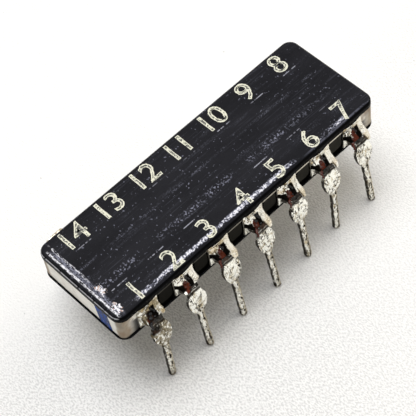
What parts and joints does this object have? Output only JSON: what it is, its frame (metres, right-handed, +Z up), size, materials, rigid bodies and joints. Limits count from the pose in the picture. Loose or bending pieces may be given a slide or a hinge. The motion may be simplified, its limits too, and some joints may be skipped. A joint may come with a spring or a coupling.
{
  "type": "resistor network",
  "caption": "Dual-in-line resistor network: black-coated ceramic plate with two rows of splayed round wire leads soldered to its long sides.",
  "frame": {"origin": "middle of the lead pattern, in the plane of the lead tips", "axes": "+X along the body from the end with leads 1 and 14, +Y towards leads 8 to 14, +Z up"},
  "size_m": [0.019, 0.0096, 0.0065],
  "materials": {
    "alumina": "matte cream",
    "top_coat": "black, semi-gloss, scratched",
    "bottom_coat": "black",
    "printed_metal": "printed silver alloy",
    "resistor_film": "fired cermet film",
    "dark_glaze": "charcoal",
    "blue_paint": "thin paint",
    "tinned_wire": "tinned, grainy, tarnished at the tips",
    "solder": "frosted solder with flux stains"
  },
  "bodies": {
    "root": {"ceramic_substrate": "alumina", "top_coat": "top_coat", "bottom_coat": "bottom_coat", "upper_conductor": "printed_metal", "lower_conductor": "printed_metal", "edge_pads": "printed_metal", "side_glaze": "dark_glaze", "end_paint_mark": "blue_paint", "upper_resistor_1": "resistor_film", "upper_resistor_2": "resistor_film", "upper_resistor_3": "resistor_film", "upper_resistor_4": "resistor_film", "upper_resistor_5": "resistor_film", "upper_resistor_6": "resistor_film", "upper_resistor_8": "resistor_film", "upper_resistor_9": "resistor_film", "upper_resistor_10": "resistor_film", "upper_resistor_11": "resistor_film", "upper_resistor_12": "resistor_film", "upper_resistor_13": "resistor_film", "lower_resistor_1": "resistor_film", "lower_resistor_2": "resistor_film", "lower_resistor_3": "resistor_film", "lower_resistor_4": "resistor_film", "lower_resistor_5": "resistor_film", "lower_resistor_6": "resistor_film", "lower_resistor_8": "resistor_film", "lower_resistor_9": "resistor_film", "lower_resistor_10": "resistor_film", "lower_resistor_11": "resistor_film", "lower_resistor_12": "resistor_film", "lower_resistor_13": "resistor_film", "lead_1": "tinned_wire", "lead_2": "tinned_wire", "lead_3": "tinned_wire", "lead_4": "tinned_wire", "lead_5": "tinned_wire", "lead_6": "tinned_wire", "lead_7": "tinned_wire", "lead_8": "tinned_wire", "lead_9": "tinned_wire", "lead_10": "tinned_wire", "lead_11": "tinned_wire", "lead_12": "tinned_wire", "lead_13": "tinned_wire", "lead_14": "tinned_wire", "solder_joint_1": "solder", "solder_joint_2": "solder", "solder_joint_3": "solder", "solder_joint_4": "solder", "solder_joint_5": "solder", "solder_joint_6": "solder", "solder_joint_7": "solder", "solder_joint_8": "solder", "solder_joint_9": "solder", "solder_joint_10": "solder", "solder_joint_11": "solder", "solder_joint_12": "solder", "solder_joint_13": "solder", "solder_joint_14": "solder"}
  },
  "joints": []
}
